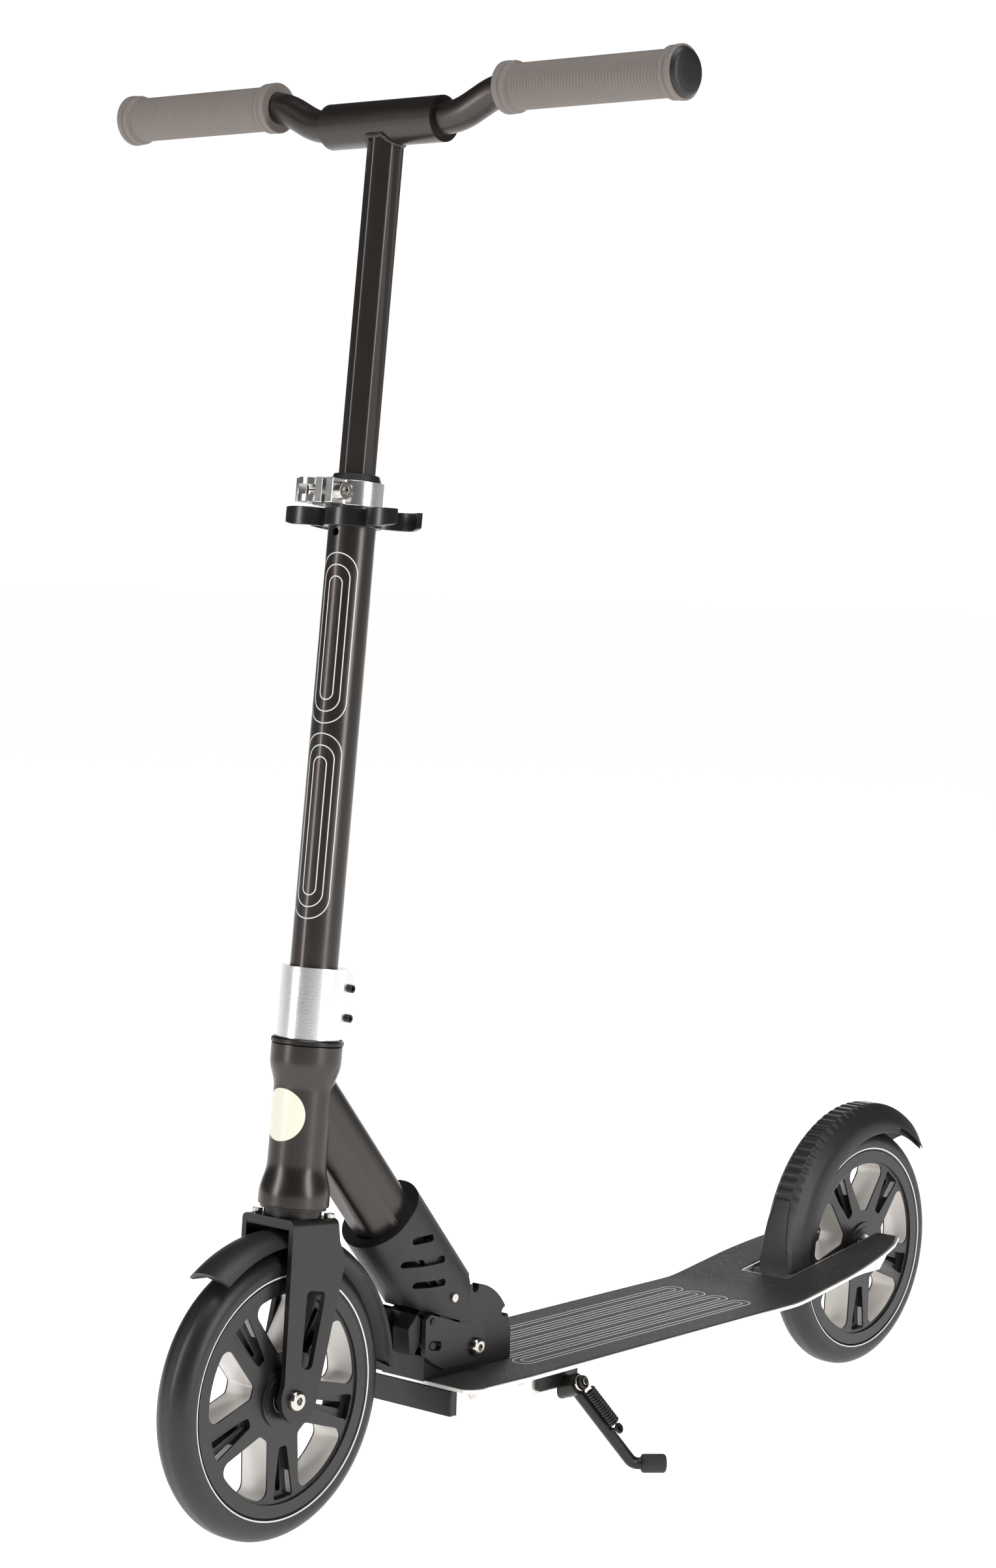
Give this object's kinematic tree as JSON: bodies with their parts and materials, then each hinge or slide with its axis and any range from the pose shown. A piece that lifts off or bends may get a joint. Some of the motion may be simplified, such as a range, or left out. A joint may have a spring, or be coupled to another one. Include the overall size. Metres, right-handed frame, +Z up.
{
  "type": "folding kick scooter",
  "caption": "Folding kick scooter with large wheels, height-adjustable T handlebar, foot-brake fender, quick-release clamp and side stand.",
  "frame": {"origin": "on the floor, midway between the two wheels' contact points", "axes": "+X direction of travel, +Y the rider's left, +Z up"},
  "size_m": [0.91, 0.509, 1.0008],
  "materials": {
    "frame_black": "satin",
    "post_black": "satin anodised",
    "deck_metal": "brushed",
    "rim_dark": "satin",
    "silver": "brushed",
    "steel": "bright zinc",
    "dark_steel": "blackened",
    "black_plastic": "matt",
    "button_plastic": "matt",
    "grip_rubber": "matt",
    "tyre_black": "satin",
    "foot_rubber": "matt",
    "tape": "gritty",
    "pad": "matt"
  },
  "bodies": {
    "deck_frame": {"deck": "deck_metal", "grip_tape": "tape", "deck_front_cap": "black_plastic", "deck_side_screws": "steel", "folding_bracket": "frame_black", "fold_pivot_bolt": "steel", "fold_pivot_nut": "steel", "dropout_plates": "silver", "rear_axle_bolt": "dark_steel", "rear_axle_nut": "dark_steel", "rear_axle_spacers": "dark_steel", "fender_hinge_pin": "dark_steel", "fender_spring": "steel", "kickstand_bracket": "dark_steel", "kickstand_pivot_bolt": "steel"},
    "kickstand": {"kickstand_leg": "dark_steel", "kickstand_foot": "foot_rubber", "kickstand_spring": "dark_steel"},
    "rear_wheel": {"rear_tyre": "tyre_black", "rear_rim": "rim_dark", "rear_wheel_bearings": "steel"},
    "brake": {"brake_fender": "black_plastic", "brake_pad": "pad"},
    "column": {"yoke_cheeks": "frame_black", "down_tube": "frame_black", "head_tube": "frame_black", "headset_cups": "dark_steel", "neck_cover_left": "black_plastic", "neck_cover_right": "black_plastic", "neck_cover_screws": "steel", "lever_pivot_pin": "dark_steel"},
    "lock_pin": {"lock_pin": "dark_steel"},
    "release_lever": {"release_lever": "black_plastic"},
    "steering": {"fork": "frame_black", "crown_screws": "steel", "front_fender": "black_plastic", "headset_bearings": "dark_steel", "headset_nut": "dark_steel", "stem_collar": "silver", "collar_bolts": "dark_steel", "lower_post": "post_black", "post_insert": "black_plastic", "grip_rest_clip": "black_plastic", "clamp_ring": "silver", "clamp_bolt": "steel", "front_axle_bolt": "steel", "front_axle_nut": "steel", "front_axle_spacers": "dark_steel"},
    "clamp_lever": {"clamp_lever": "silver"},
    "front_wheel": {"front_tyre": "tyre_black", "front_rim": "rim_dark", "front_wheel_bearings": "steel"},
    "handlebar": {"upper_post": "post_black", "handlebar_left": "post_black", "handlebar_right": "post_black", "grip_left": "grip_rubber", "grip_right": "grip_rubber", "grip_end_plugs": "black_plastic"},
    "bar_button_left": {"bar_button_left": "button_plastic"},
    "bar_button_right": {"bar_button_right": "button_plastic"}
  },
  "joints": [
    {"name": "rear_wheel_spin", "type": "hinge", "parent": "deck_frame", "child": "rear_wheel", "pos_m": [-0.355, 0, 0.1], "axis": [0, 1, 0], "continuous": true},
    {"name": "brake_press", "type": "hinge", "parent": "deck_frame", "child": "brake", "pos_m": [-0.244, 0, 0.082], "axis": [0, -1, 0], "range_deg": [0, 4.3], "stiffness_Nm_per_rad": 4, "springref_deg": -8.59},
    {"name": "kickstand_fold", "type": "hinge", "parent": "deck_frame", "child": "kickstand", "pos_m": [0.088, 0.053, 0.068], "axis": [0, 0.9184, 0.3955], "range_deg": [0, 54]},
    {"name": "fold", "type": "hinge", "parent": "deck_frame", "child": "column", "pos_m": [0.166, 0, 0.105], "axis": [0, -1, 0], "range_deg": [0, 85]},
    {"name": "release_lever_turn", "type": "hinge", "parent": "column", "child": "release_lever", "pos_m": [0.214, 0, 0.131], "axis": [0, 1, 0], "range_deg": [0, 18.7]},
    {"name": "lock_pin_slide", "type": "slide", "parent": "column", "child": "lock_pin", "axis": [-0.9848, 0, -0.1736], "range_m": [0, 0.0065]},
    {"name": "steer", "type": "hinge", "parent": "column", "child": "steering", "pos_m": [0.3568, 0, 0], "axis": [-0.0899, 0, 0.9959], "range_deg": [-60, 60]},
    {"name": "front_wheel_spin", "type": "hinge", "parent": "steering", "child": "front_wheel", "pos_m": [0.355, 0, 0.1], "axis": [0, 1, 0], "continuous": true},
    {"name": "clamp_lever_open", "type": "hinge", "parent": "steering", "child": "clamp_lever", "pos_m": [0.31789, -0.0173, 0.7144], "axis": [-0.0899, 0, 0.9959], "range_deg": [0, 130]},
    {"name": "height_slide", "type": "slide", "parent": "steering", "child": "handlebar", "axis": [-0.0899, 0, 0.9959], "range_m": [-0.205, 0]},
    {"name": "button_left_press", "type": "slide", "parent": "handlebar", "child": "bar_button_left", "axis": [0.9959, 0, 0.0899], "range_m": [0, 0.004], "stiffness_N_per_m": 600, "springref_m": -0.002},
    {"name": "button_right_press", "type": "slide", "parent": "handlebar", "child": "bar_button_right", "axis": [0.9959, 0, 0.0899], "range_m": [0, 0.004], "stiffness_N_per_m": 600, "springref_m": -0.002}
  ],
  "couplings": [
    {"joint": "lock_pin_slide", "follows": "release_lever_turn", "m_per_rad": 0.0198}
  ]
}
